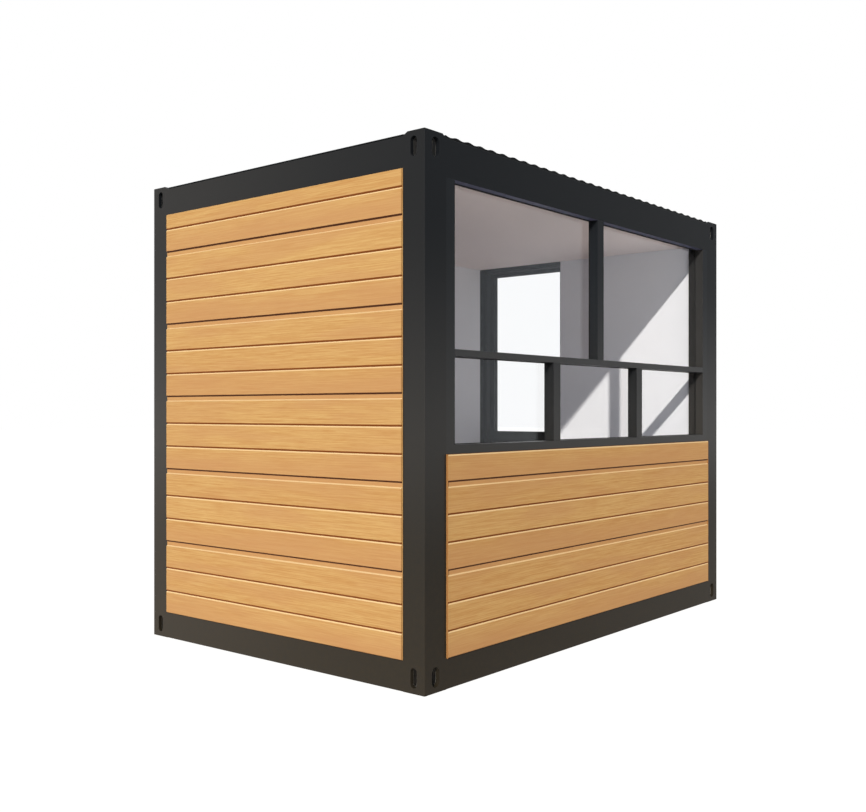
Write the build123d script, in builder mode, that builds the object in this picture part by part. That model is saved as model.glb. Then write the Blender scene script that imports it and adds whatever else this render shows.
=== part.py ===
"""Guard booth: a steel corner frame with wood-look cladding, a wide front window and a half-glazed door."""
import math
import os

from build123d import *

# Overall size
length = 3000.0
depth = 2000.0
height = 2500.0

# Steel frame
post_x = 150.0
post_y = 128.0
casting_height = 140.0
bottom_rail_height = 140.0
top_rail_height = 144.0
frame_radius = 3.0

# Corner castings
casting_wall = 22.0
front_slot_width = 52.0
end_slot_width = 38.0
slot_height = 90.0
aperture_length = 92.0
aperture_width = 50.0
casting_slope = 26.0

# Roof and ceiling
roof_rise = 16.0
wave_rise = 6.5
wave_count = 33
roof_setback = 5.0
sheet_clearance = 2.0
ceiling_thickness = 20.0

# Floor
floor_thickness = 20.0
joist_count = 5
joist_width = 60.0
joist_height = 100.0

# Cladding
cladding_thickness = 16.0
cladding_proud = 10.0
panel_module = 399.0
board_lines = (121.0, 247.5)
board_groove_width = 12.0
board_groove_depth = 5.0
joint_line = 374.0
joint_height = 22.5
joint_depth = 7.0
edge_bevel = 5.0

# Front window
sill_wall_top = 1059.0
sill_bar_height = 42.0
head_bar_height = 34.0
jamb_width = 62.0
window_frame_depth = 100.0
transom_bottom = 1505.0
transom_height = 32.0
mullion_width = 64.0
bar_depth = 58.0
glass_setback = 50.0
glass_thickness = 6.0

# Door
door_opening_width = 734.0
door_frame_depth = 100.0
door_frame_thickness = 15.0
door_stop_width = 12.0
door_stop_joint = 0.5
door_gap = 5.0
leaf_thickness = 45.0
hinge_stile_width = 38.0
lock_stile_width = 52.0
leaf_top_rail = 32.0
leaf_mid_rail = 120.0
leaf_bottom_rail = 120.0
leaf_mid_rail_top = 1097.0
leaf_panel_thickness = 24.0

# Door handle and hinges
handle_height = 1050.0
handle_plate_width = 30.0
handle_plate_height = 180.0
handle_plate_thickness = 6.0
handle_reach = 50.0
lever_length = 120.0
lever_height = 18.0
lever_thickness = 14.0
lever_radius = 6.0
neck_radius = 9.0
hinge_count = 3
hinge_end_distance = 240.0
hinge_length = 110.0
knuckle_radius = 7.0
knuckle_play = 0.2
hinge_plate_width = 32.0
hinge_plate_thickness = 4.0

# Positions that follow from the sizes above
half_length = length / 2
half_depth = depth / 2
inner_x = half_length - post_x
inner_y = half_depth - post_y
corner_x = half_length - post_x / 2
corner_y = half_depth - post_y / 2
corners = [(-corner_x, -corner_y), (corner_x, -corner_y), (-corner_x, corner_y), (corner_x, corner_y)]
rail_top = height - roof_rise
wall_top = rail_top - top_rail_height
wall_bottom = bottom_rail_height
floor_top = wall_bottom + floor_thickness
cladding_sunk = cladding_thickness - cladding_proud
wall_face_x = half_length - cladding_sunk
wall_face_y = half_depth - cladding_sunk
window_bottom = sill_wall_top + sill_bar_height
window_top = wall_top - head_bar_height
window_half = inner_x - jamb_width
transom_top = transom_bottom + transom_height
lower_pane_width = (2 * window_half - 2 * mullion_width) / 3
lower_mullion_x = (lower_pane_width + mullion_width) / 2
pane_front = -half_depth + glass_setback
opening_high = inner_y
opening_low = opening_high - door_opening_width
leaf_low = opening_low + door_frame_thickness + door_gap
leaf_high = opening_high - door_frame_thickness - door_gap
leaf_bottom = floor_top + door_gap
leaf_top = wall_top - door_frame_thickness - door_gap
leaf_back = half_length - leaf_thickness
leaf_middle = half_length - leaf_thickness / 2
hinge_axis_x = half_length + door_gap + knuckle_radius
hinge_axis_y = opening_high - door_frame_thickness / 2

pieces = {}


def block(low, high):
    """Add a box between two opposite corners to the piece being built."""
    size = [b - a for a, b in zip(low, high)]
    middle = [(a + b) / 2 for a, b in zip(low, high)]
    with Locations(tuple(middle)):
        Box(*size)


def keep(name, builder):
    """Name a finished piece and put it on the list of pieces to export."""
    builder.part.label = name
    pieces[name] = builder.part


def outer_edges(builder):
    """Upright edges of a corner piece that lie at the outside corner of the booth."""
    upright = builder.edges().filter_by(Axis.Z)
    return upright.filter_by(lambda e: abs(e.center().X) > corner_x and abs(e.center().Y) > corner_y)


# Corner posts stand between the castings
post_names = ("front_left_post", "front_right_post", "back_left_post", "back_right_post")
for name, place in zip(post_names, corners):
    with BuildPart() as post:
        with BuildSketch(Plane.XY.offset(casting_height)):
            with Locations(place):
                Rectangle(post_x, post_y)
        extrude(amount=height - 2 * casting_height)
        fillet(outer_edges(post), frame_radius)
    keep(name, post)

# Rails run between the posts, flush with their outer faces.
# Each is rounded along the outer edge that no wall meets.
rail_levels = {"bottom": (0, bottom_rail_height), "top": (wall_top, rail_top)}
for level, (low, high) in rail_levels.items():
    open_edge = -1 if level == "top" else 0
    for side, sign in (("front", -1), ("back", 1)):
        with BuildPart() as rail:
            with BuildSketch(Plane.YZ.offset(-inner_x)):
                with Locations((sign * corner_y, (low + high) / 2)):
                    Rectangle(post_y, high - low)
            extrude(amount=2 * inner_x)
            outer = rail.edges().filter_by(Axis.X).filter_by(lambda e: sign * e.center().Y > corner_y)
            fillet(outer.sort_by(Axis.Z)[open_edge], frame_radius)
        keep(f"{side}_{level}_rail", rail)
    for side, sign in (("left", -1), ("right", 1)):
        with BuildPart() as rail:
            with BuildSketch(Plane.XZ.offset(-inner_y)):
                with Locations((sign * corner_x, (low + high) / 2)):
                    Rectangle(post_x, high - low)
            extrude(amount=2 * inner_y)
            outer = rail.edges().filter_by(Axis.Y).filter_by(lambda e: sign * e.center().X > corner_x)
            fillet(outer.sort_by(Axis.Z)[open_edge], frame_radius)
        keep(f"{side}_{level}_rail", rail)

# Corner castings are hollow blocks with a slot in each outer face and an aperture at the top or bottom.
# The top ones slope down to the rails along their two inner edges.
for level, base in (("top", height - casting_height), ("bottom", 0)):
    middle = base + casting_height / 2
    outward = 1 if level == "top" else -1
    with BuildPart() as castings:
        with Locations(*[(x, y, middle) for x, y in corners]):
            Box(post_x, post_y, casting_height)
        fillet(outer_edges(castings), frame_radius)
        with Locations(*[(x, y, middle) for x, y in corners]):
            Box(
                post_x - 2 * casting_wall,
                post_y - 2 * casting_wall,
                casting_height - 2 * casting_wall,
                mode=Mode.SUBTRACT,
            )
        for sign in (-1, 1):
            long_face = Plane(origin=(0, sign * half_depth, middle), x_dir=(1, 0, 0), z_dir=(0, sign, 0))
            with BuildSketch(long_face):
                with Locations((-corner_x, 0), (corner_x, 0)):
                    SlotOverall(slot_height, front_slot_width, rotation=90)
            extrude(amount=-post_y / 2, mode=Mode.SUBTRACT)
            end_face = Plane(origin=(sign * half_length, 0, middle), x_dir=(0, 1, 0), z_dir=(sign, 0, 0))
            with BuildSketch(end_face):
                with Locations((-corner_y, 0), (corner_y, 0)):
                    SlotOverall(slot_height, end_slot_width, rotation=90)
            extrude(amount=-post_x / 2, mode=Mode.SUBTRACT)
        with BuildSketch(Plane.XY.offset(middle)):
            with Locations(*corners):
                SlotOverall(aperture_length, aperture_width)
        extrude(amount=outward * casting_height / 2, mode=Mode.SUBTRACT)
        if level == "top":
            for plane, edge, run in (
                (Plane.XZ.offset(-half_depth), inner_x, depth),
                (Plane.YZ.offset(-half_length), inner_y, length),
            ):
                with BuildSketch(plane):
                    for sign in (-1, 1):
                        Polygon(
                            (sign * edge, rail_top),
                            (sign * (edge + casting_slope), height),
                            (sign * edge, height),
                            align=None,
                        )
                extrude(amount=run, mode=Mode.SUBTRACT)
    keep(f"{level}_corner_castings", castings)

# Corrugated roof sheet lies on the top rails, its waves running from front to back
valley_level = height - wave_rise
middle_level = height - wave_rise / 2
roof_half_length = half_length - roof_setback
wave_pitch = 2 * roof_half_length / wave_count
quarter = wave_pitch / 4
bend_radius = (quarter**2 + (wave_rise / 2) ** 2) / wave_rise
half_bend = math.asin(quarter / bend_radius) / 2
bend_run = bend_radius * math.sin(half_bend)
bend_lift = bend_radius * (1 - math.cos(half_bend))

with BuildPart() as roof_sheet:
    with BuildSketch(Plane.XZ.offset(-half_depth + roof_setback)):
        with BuildLine():
            for wave in range(wave_count):
                left = -roof_half_length + wave * wave_pitch
                right = left + wave_pitch
                rise = (left + quarter, middle_level)
                fall = (right - quarter, middle_level)
                ThreePointArc((left, valley_level), (left + bend_run, valley_level + bend_lift), rise)
                ThreePointArc(rise, (left + 2 * quarter, height), fall)
                ThreePointArc(fall, (right - bend_run, valley_level + bend_lift), (right, valley_level))
            Polyline(
                (-roof_half_length, valley_level),
                (-roof_half_length, rail_top),
                (roof_half_length, rail_top),
                (roof_half_length, valley_level),
            )
        make_face()
    extrude(amount=depth - 2 * roof_setback)
    with Locations(*[(x, y, height) for x, y in corners]):
        Box(
            post_x + 2 * sheet_clearance,
            post_y + 2 * sheet_clearance,
            2 * casting_height,
            mode=Mode.SUBTRACT,
        )
keep("roof_sheet", roof_sheet)

# Ceiling between the top rails
with BuildPart() as ceiling_panel:
    block((-inner_x, -inner_y, wall_top), (inner_x, inner_y, wall_top + ceiling_thickness))
keep("ceiling_panel", ceiling_panel)

# Floor joists between the long bottom rails, and the deck on them
with BuildPart() as floor_joists:
    with GridLocations(2 * inner_x / joist_count, 0, joist_count, 1):
        with Locations((0, 0, bottom_rail_height - joist_height / 2)):
            Box(joist_width, 2 * inner_y, joist_height)
keep("floor_joists", floor_joists)

with BuildPart() as floor_deck:
    block((-inner_x, -inner_y, wall_bottom), (inner_x, inner_y, floor_top))
keep("floor_deck", floor_deck)

# Insulated wall panels stand on the bottom rails, with their white inner faces in line with the posts
with BuildPart() as left_wall_panel:
    block((-wall_face_x, -inner_y, wall_bottom), (-inner_x, inner_y, wall_top))
keep("left_wall_panel", left_wall_panel)

with BuildPart() as back_wall_panel:
    block((-inner_x, inner_y, wall_bottom), (inner_x, wall_face_y, wall_top))
keep("back_wall_panel", back_wall_panel)

with BuildPart() as right_wall_panel:
    block((inner_x, -inner_y, wall_bottom), (wall_face_x, opening_low, wall_top))
keep("right_wall_panel", right_wall_panel)

with BuildPart() as front_wall_panel:
    block((-inner_x, -wall_face_y, wall_bottom), (inner_x, -inner_y, sill_wall_top))
keep("front_wall_panel", front_wall_panel)


def cladding_section(plane, low, high):
    """Upright section of the carved cladding: bevelled edges, board grooves and a stepped joint."""
    with BuildSketch(plane, mode=Mode.PRIVATE) as section:
        with Locations((cladding_thickness / 2, (low + high) / 2)):
            Rectangle(cladding_thickness, high - low)
        for edge, inward in ((low, edge_bevel), (high, -edge_bevel)):
            with Locations((cladding_thickness, edge)):
                Polygon((0, 0), (-edge_bevel, 0), (0, inward), align=None, mode=Mode.SUBTRACT)
        for course in range(math.ceil((high - low) / panel_module)):
            start = low + course * panel_module
            lines = [start + line for line in board_lines]
            for level in [line for line in lines if line + board_groove_width < high]:
                with Locations((cladding_thickness, level)):
                    Polygon(
                        (0, -board_groove_width / 2),
                        (0, board_groove_width / 2),
                        (-board_groove_depth, 0),
                        align=None,
                        mode=Mode.SUBTRACT,
                    )
            if start + joint_line + 2 * joint_height < high:
                with Locations((cladding_thickness, start + joint_line)):
                    Polygon(
                        (0, -edge_bevel),
                        (0, joint_height + edge_bevel),
                        (-edge_bevel, joint_height),
                        (-joint_depth, joint_height),
                        (-joint_depth, 0),
                        align=None,
                        mode=Mode.SUBTRACT,
                    )
    return section.sketch


# Cladding on the four walls, its lines at the same levels all round
left_plane = Plane(origin=(-wall_face_x, -inner_y, 0), x_dir=(-1, 0, 0), z_dir=(0, 1, 0))
with BuildPart() as left_wall_cladding:
    extrude(cladding_section(left_plane, wall_bottom, wall_top), amount=2 * inner_y)
keep("left_wall_cladding", left_wall_cladding)

back_plane = Plane(origin=(-inner_x, wall_face_y, 0), x_dir=(0, 1, 0), z_dir=(1, 0, 0))
with BuildPart() as back_wall_cladding:
    extrude(cladding_section(back_plane, wall_bottom, wall_top), amount=2 * inner_x)
keep("back_wall_cladding", back_wall_cladding)

right_plane = Plane(origin=(wall_face_x, opening_low, 0), x_dir=(1, 0, 0), z_dir=(0, -1, 0))
with BuildPart() as right_wall_cladding:
    extrude(cladding_section(right_plane, wall_bottom, wall_top), amount=opening_low + inner_y)
keep("right_wall_cladding", right_wall_cladding)

front_plane = Plane(origin=(inner_x, -wall_face_y, 0), x_dir=(0, -1, 0), z_dir=(-1, 0, 0))
with BuildPart() as front_wall_cladding:
    extrude(cladding_section(front_plane, wall_bottom, sill_wall_top), amount=2 * inner_x)
keep("front_wall_cladding", front_wall_cladding)

# Front window frame around the glass
frame_back = -half_depth + window_frame_depth
bar_back = -half_depth + bar_depth
with BuildPart() as front_window_sill:
    block((-inner_x, -half_depth, sill_wall_top), (inner_x, frame_back, window_bottom))
keep("front_window_sill", front_window_sill)

with BuildPart() as front_window_head:
    block((-inner_x, -half_depth, window_top), (inner_x, bar_back, wall_top))
keep("front_window_head", front_window_head)

with BuildPart() as front_window_jambs:
    block((-inner_x, -half_depth, window_bottom), (-window_half, frame_back, window_top))
    block((window_half, -half_depth, window_bottom), (inner_x, frame_back, window_top))
keep("front_window_jambs", front_window_jambs)

# Bars that divide the window into two upper and three lower panes
with BuildPart() as window_transom:
    block((-window_half, -half_depth, transom_bottom), (window_half, bar_back, transom_top))
keep("window_transom", window_transom)

with BuildPart() as upper_mullion:
    block((-mullion_width / 2, -half_depth, transom_top), (mullion_width / 2, bar_back, window_top))
keep("upper_mullion", upper_mullion)

with BuildPart() as lower_mullions:
    with Locations(
        (-lower_mullion_x, -half_depth + bar_depth / 2, (window_bottom + transom_bottom) / 2),
        (lower_mullion_x, -half_depth + bar_depth / 2, (window_bottom + transom_bottom) / 2),
    ):
        Box(mullion_width, bar_depth, transom_bottom - window_bottom)
keep("lower_mullions", lower_mullions)

# Glass panes, each set between the bars around it
with BuildPart() as upper_panes:
    for left, right in ((-window_half, -mullion_width / 2), (mullion_width / 2, window_half)):
        block((left, pane_front, transom_top), (right, pane_front + glass_thickness, window_top))
keep("upper_panes", upper_panes)

with BuildPart() as lower_panes:
    for column in range(3):
        left = -window_half + column * (lower_pane_width + mullion_width)
        block(
            (left, pane_front, window_bottom),
            (left + lower_pane_width, pane_front + glass_thickness, transom_bottom),
        )
keep("lower_panes", lower_panes)

# Door frame in the end wall, beside the back post
door_frame_back = half_length - door_frame_depth
frame_head_bottom = wall_top - door_frame_thickness
with BuildPart() as door_threshold:
    block((inner_x, opening_low, wall_bottom), (half_length, opening_high, floor_top))
keep("door_threshold", door_threshold)

with BuildPart() as door_head:
    block((door_frame_back, opening_low, frame_head_bottom), (half_length, opening_high, wall_top))
keep("door_head", door_head)

with BuildPart() as door_jambs:
    for low, high in (
        (opening_low, opening_low + door_frame_thickness),
        (opening_high - door_frame_thickness, opening_high),
    ):
        block((door_frame_back, low, floor_top), (half_length, high, frame_head_bottom))
keep("door_jambs", door_jambs)

# Strips planted on the frame that the leaf closes against
stop_low = opening_low + door_frame_thickness
stop_high = opening_high - door_frame_thickness
stop_front = leaf_back - door_gap
strip_low = stop_low + door_stop_width
strip_high = stop_high - door_stop_width
with BuildPart() as door_stops:
    for low, high in ((stop_low, strip_low), (strip_high, stop_high)):
        block((door_frame_back, low, floor_top), (stop_front, high, frame_head_bottom))
    block(
        (door_frame_back, strip_low + door_stop_joint, frame_head_bottom - door_stop_width),
        (stop_front, strip_high - door_stop_joint, frame_head_bottom),
    )
keep("door_stops", door_stops)

# Door leaf: stiles and rails around a lower panel and an upper pane
panel_low = leaf_low + lock_stile_width
panel_high = leaf_high - hinge_stile_width
with BuildPart() as door_stiles:
    block((leaf_back, leaf_low, leaf_bottom), (half_length, panel_low, leaf_top))
    block((leaf_back, panel_high, leaf_bottom), (half_length, leaf_high, leaf_top))
keep("door_stiles", door_stiles)

bottom_rail_top = leaf_bottom + leaf_bottom_rail
mid_rail_bottom = leaf_mid_rail_top - leaf_mid_rail
top_rail_bottom = leaf_top - leaf_top_rail
with BuildPart() as door_rails:
    for low, high in (
        (leaf_bottom, bottom_rail_top),
        (mid_rail_bottom, leaf_mid_rail_top),
        (top_rail_bottom, leaf_top),
    ):
        block((leaf_back, panel_low, low), (half_length, panel_high, high))
keep("door_rails", door_rails)

with BuildPart() as door_panel:
    block(
        (leaf_middle - leaf_panel_thickness / 2, panel_low, bottom_rail_top),
        (leaf_middle + leaf_panel_thickness / 2, panel_high, mid_rail_bottom),
    )
keep("door_panel", door_panel)

with BuildPart() as door_glass:
    block(
        (leaf_middle - glass_thickness / 2, panel_low, leaf_mid_rail_top),
        (leaf_middle + glass_thickness / 2, panel_high, top_rail_bottom),
    )
keep("door_glass", door_glass)

# Lever handles on both faces of the free stile
handle_y = leaf_low + lock_stile_width / 2
with BuildPart() as door_handles:
    for face, sign in ((half_length, 1), (leaf_back, -1)):
        seat = Plane(origin=(face, handle_y, handle_height), x_dir=(0, 1, 0), z_dir=(sign, 0, 0))
        with BuildSketch(seat):
            RectangleRounded(handle_plate_width, handle_plate_height, lever_radius)
        extrude(amount=handle_plate_thickness)
        with BuildSketch(seat):
            Circle(neck_radius)
        extrude(amount=handle_reach)
        bar = Plane(
            origin=(face + sign * (handle_reach - lever_thickness), handle_y - neck_radius, handle_height),
            x_dir=(0, 1, 0),
            z_dir=(sign, 0, 0),
        )
        with BuildSketch(bar):
            with Locations((lever_length / 2, 0)):
                RectangleRounded(lever_length, lever_height, lever_radius)
        extrude(amount=lever_thickness)
keep("door_handles", door_handles)

# Lift-off hinges: the leaf's knuckle turns on the frame's knuckle below it
lowest_hinge = leaf_bottom + hinge_end_distance
hinge_spacing = (leaf_top - hinge_end_distance - lowest_hinge) / (hinge_count - 1)
hinge_levels = [lowest_hinge + place * hinge_spacing for place in range(hinge_count)]
knuckle_length = hinge_length / 2
with BuildPart() as hinge_frame_knuckles:
    for level in hinge_levels:
        with BuildSketch(Plane.XY.offset(level - knuckle_length)):
            with Locations((hinge_axis_x, hinge_axis_y)):
                Circle(knuckle_radius)
            with Locations(((half_length + hinge_axis_x) / 2, hinge_axis_y)):
                Rectangle(hinge_axis_x - half_length, knuckle_radius)
        extrude(amount=knuckle_length)
keep("hinge_frame_knuckles", hinge_frame_knuckles)

plate_y = leaf_high - hinge_stile_width / 2
with BuildPart() as hinge_leaf_knuckles:
    for level in hinge_levels:
        with BuildSketch(Plane(origin=(half_length, plate_y, level), x_dir=(0, 1, 0), z_dir=(1, 0, 0))):
            RectangleRounded(hinge_plate_width, hinge_length, hinge_plate_thickness)
        extrude(amount=hinge_plate_thickness)
        with BuildSketch(Plane.XY.offset(level + knuckle_play)):
            with Locations((hinge_axis_x, hinge_axis_y)):
                Circle(knuckle_radius)
            with Locations((hinge_axis_x, plate_y)):
                Rectangle(knuckle_radius, hinge_axis_y - plate_y, align=(Align.CENTER, Align.MIN))
            with Locations((half_length, plate_y)):
                plate_reach = hinge_axis_x - half_length + knuckle_radius / 2
                Rectangle(plate_reach, knuckle_radius, align=(Align.MIN, Align.MIN))
        extrude(amount=knuckle_length - knuckle_play)
keep("hinge_leaf_knuckles", hinge_leaf_knuckles)

os.makedirs("parts", exist_ok=True)
for name, solid in pieces.items():
    export_step(solid, f"parts/{name}.step")
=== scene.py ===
import math

import bpy
import numpy as np
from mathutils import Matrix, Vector


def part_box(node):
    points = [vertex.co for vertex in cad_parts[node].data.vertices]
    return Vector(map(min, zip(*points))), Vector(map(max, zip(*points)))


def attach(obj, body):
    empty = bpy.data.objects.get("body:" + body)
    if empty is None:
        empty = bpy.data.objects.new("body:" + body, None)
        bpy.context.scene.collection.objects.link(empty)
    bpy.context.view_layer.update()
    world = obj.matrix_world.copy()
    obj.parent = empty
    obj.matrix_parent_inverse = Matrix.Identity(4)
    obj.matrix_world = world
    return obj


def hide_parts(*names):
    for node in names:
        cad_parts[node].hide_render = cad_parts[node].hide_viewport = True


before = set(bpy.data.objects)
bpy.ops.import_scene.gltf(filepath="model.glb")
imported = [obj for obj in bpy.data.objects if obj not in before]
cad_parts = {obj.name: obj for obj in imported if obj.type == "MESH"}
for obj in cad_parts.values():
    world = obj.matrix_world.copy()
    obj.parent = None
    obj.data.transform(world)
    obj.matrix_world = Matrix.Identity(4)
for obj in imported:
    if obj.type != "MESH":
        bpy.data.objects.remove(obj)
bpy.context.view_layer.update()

bl_info = {
    "name": "Guard Booth",
    "version": (1, 0, 0),
    "blender": (4, 5, 0),
    "location": "View3D > Sidebar > Booth",
    "description": "Dresses a steel-framed guard booth with wood-look cladding, glass and paint",
    "category": "Add Mesh",
}


# Properties

class BoothColours(bpy.types.PropertyGroup):
    """Colours of the booth's finishes."""
    wood_light: bpy.props.FloatVectorProperty(
        name="Pale grain", description="Paler tone of the cladding boards", subtype="COLOR",
        default=(0.570, 0.372, 0.150))
    wood_dark: bpy.props.FloatVectorProperty(
        name="Dark grain", description="Deeper tone of the cladding boards", subtype="COLOR",
        default=(0.420, 0.208, 0.068))
    wood_warm: bpy.props.FloatVectorProperty(
        name="Warm board", description="Pinker tone that clouds the boards", subtype="COLOR",
        default=(0.445, 0.232, 0.100))
    # Painted highlight on the boards' upward bevels
    edge_painted_highlight: bpy.props.FloatVectorProperty(
        name="Board edge", description="Pale upper edge of a board", subtype="COLOR",
        default=(0.74, 0.55, 0.30))
    # Painted shade on the board grooves' downward slopes
    groove_painted_shade: bpy.props.FloatVectorProperty(
        name="Groove", description="Scorched tone in a board groove", subtype="COLOR",
        default=(0.205, 0.064, 0.015))
    # Painted shadow under a panel's lower lip
    lip_painted_shadow: bpy.props.FloatVectorProperty(
        name="Joint lip", description="Scorched tone under a panel's lower lip", subtype="COLOR",
        default=(0.055, 0.015, 0.009))
    steel: bpy.props.FloatVectorProperty(
        name="Frame paint", description="Dark paint on the steel frame", subtype="COLOR",
        default=(0.0080, 0.0094, 0.0114))
    # Painted sunlight: a lighter paint for the frame faces that the sun lights
    painted_sunlight: bpy.props.FloatVectorProperty(
        name="Bleached paint", description="Paint that the sun has bleached", subtype="COLOR",
        default=(0.0290, 0.0286, 0.0288))
    bars: bpy.props.FloatVectorProperty(
        name="Bar paint", description="Dark paint on the window and door bars", subtype="COLOR",
        default=(0.0225, 0.0245, 0.0275))
    roof: bpy.props.FloatVectorProperty(
        name="Roof paint", description="Black paint on the roof sheet", subtype="COLOR",
        default=(0.0040, 0.0045, 0.0050))
    dust: bpy.props.FloatVectorProperty(
        name="Dust", description="Dry dust near the ground", subtype="COLOR",
        default=(0.094, 0.061, 0.016))
    dusty: bpy.props.FloatProperty(
        name="Dustiness", description="Share of dust on the lowest steel", subtype="FACTOR", default=0.20)
    # Painted light: a paler tone inside the corner castings, standing in for light in the shaded slots
    casting_painted_light: bpy.props.FloatVectorProperty(
        name="Casting inside", description="Worn primer inside the corner castings", subtype="COLOR",
        default=(0.165, 0.163, 0.158))
    # Painted light: a paler tone on the window head's underside, where light from below falls
    underside_painted_light: bpy.props.FloatVectorProperty(
        name="Head bead", description="Grey bead under the window head", subtype="COLOR",
        default=(0.086, 0.091, 0.145))
    lining: bpy.props.FloatVectorProperty(
        name="Lining", description="White inner wall panels", subtype="COLOR", default=(0.80, 0.81, 0.86))
    # Painted light: the ceiling's warmer, paler tone than the lining stands in for warm light bounced from
    # the floor
    ceiling: bpy.props.FloatVectorProperty(
        name="Ceiling", description="Warm white ceiling panel", subtype="COLOR",
        default=(0.98, 0.85, 0.82))
    vinyl: bpy.props.FloatVectorProperty(
        name="Floor", description="Vinyl on the floor deck", subtype="COLOR", default=(0.79, 0.77, 0.78))
    glass: bpy.props.FloatVectorProperty(
        name="Glass", description="Tint of what shows through a pane", subtype="COLOR",
        default=(0.994, 0.996, 0.998))
    glass_gloss: bpy.props.FloatVectorProperty(
        name="Glass gloss", description="Tint of what a pane mirrors", subtype="COLOR",
        default=(0.88, 0.94, 1.0))
    gasket: bpy.props.FloatVectorProperty(
        name="Gasket", description="Rubber around the panes", subtype="COLOR",
        default=(0.012, 0.012, 0.013))
    metal: bpy.props.FloatVectorProperty(
        name="Hardware", description="Brushed steel of handles and hinges", subtype="COLOR",
        default=(0.56, 0.55, 0.54))


class BoothSizes(bpy.types.PropertyGroup):
    """Sizes of the pieces that the frame does not hold."""
    panel_module: bpy.props.FloatProperty(
        name="Panel height", description="Height of one carved panel with its joint", unit="LENGTH",
        default=0.399)
    first_line: bpy.props.FloatProperty(
        name="First groove", description="First board groove above a panel's foot", unit="LENGTH",
        default=0.121)
    second_line: bpy.props.FloatProperty(
        name="Second groove", description="Second board groove above a panel's foot", unit="LENGTH",
        default=0.2475)
    groove_width: bpy.props.FloatProperty(
        name="Groove width", description="Width of a board groove", unit="LENGTH", default=0.012)
    groove_depth: bpy.props.FloatProperty(
        name="Groove depth", description="Depth of a board groove", unit="LENGTH", default=0.005)
    joint_line: bpy.props.FloatProperty(
        name="Joint foot", description="Foot of the joint channel above a panel's foot", unit="LENGTH",
        default=0.374)
    joint_height: bpy.props.FloatProperty(
        name="Joint height", description="Height of the joint channel", unit="LENGTH", default=0.0225)
    joint_depth: bpy.props.FloatProperty(
        name="Joint depth", description="Depth of the joint channel", unit="LENGTH", default=0.007)
    edge_bevel: bpy.props.FloatProperty(
        name="Board bevel", description="Slope on the boards' edges at joints and ends", unit="LENGTH",
        default=0.005)
    trim_width: bpy.props.FloatProperty(
        name="End trim", description="Width of the strip that closes a panel's ends", unit="LENGTH",
        default=0.0015)
    trim_gap: bpy.props.FloatProperty(
        name="Trim gap", description="Width of the gap between the end strip and the boards",
        unit="LENGTH", default=0.0008)
    trim_step: bpy.props.FloatProperty(
        name="Trim step", description="Depth of the gap between the end strip and the boards",
        unit="LENGTH", default=0.009)
    soft_edge: bpy.props.FloatProperty(
        name="Soft edge", description="Rounding of the cladding's edges", unit="LENGTH", default=0.0008)
    bead: bpy.props.FloatProperty(
        name="Gasket width", description="Width of the rubber around a pane", unit="LENGTH",
        default=0.003)
    bar_bevel: bpy.props.FloatProperty(
        name="Bar edge", description="Softening of the bars' edges", unit="LENGTH", default=0.0012)
    hardware_bevel: bpy.props.FloatProperty(
        name="Hardware edge", description="Softening of the hardware's edges", unit="LENGTH", default=0.001)
    # The skin is how deep the painted sunlight reaches on the lit faces
    paint_skin: bpy.props.FloatProperty(
        name="Paint skin", description="Depth to which bleached paint is coloured", unit="LENGTH",
        default=0.001)
    casting_wall: bpy.props.FloatProperty(
        name="Casting wall", description="Depth behind a casting's faces where its inside begins",
        unit="LENGTH", default=0.021)
    wave_count: bpy.props.IntProperty(
        name="Roof waves", description="Number of waves along the roof sheet", default=33)
    washer: bpy.props.FloatProperty(
        name="Roof washer", description="Radius of a roof screw's washer", unit="LENGTH", default=0.010)
    screw_inset: bpy.props.FloatProperty(
        name="Screw inset", description="Distance of the outer screw rows from the roof's edges",
        unit="LENGTH", default=0.06)
    plate_screw: bpy.props.FloatProperty(
        name="Plate screw", description="Radius of a screw head on the door's plates", unit="LENGTH",
        default=0.0035)
    handle_plate: bpy.props.FloatVectorProperty(
        name="Handle plate", description="Thickness, width and height of a handle's back plate",
        subtype="XYZ_LENGTH", default=(0.006, 0.030, 0.180))
    hinge_plate: bpy.props.FloatVectorProperty(
        name="Hinge plate", description="Thickness, width and height of a hinge's plate",
        subtype="XYZ_LENGTH", default=(0.004, 0.032, 0.110))
    hinge_count: bpy.props.IntProperty(name="Hinges", description="Number of hinges", default=3)
    plate_margin: bpy.props.FloatProperty(
        name="Screw margin", description="Distance of a plate's screws from its ends", unit="LENGTH",
        default=0.014)
    lock_drop: bpy.props.FloatProperty(
        name="Lock drop", description="Distance of the lock below the lever", unit="LENGTH",
        default=0.052)
    lock_radius: bpy.props.FloatProperty(
        name="Lock", description="Radius of the lock's plug", unit="LENGTH", default=0.0085)


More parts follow.
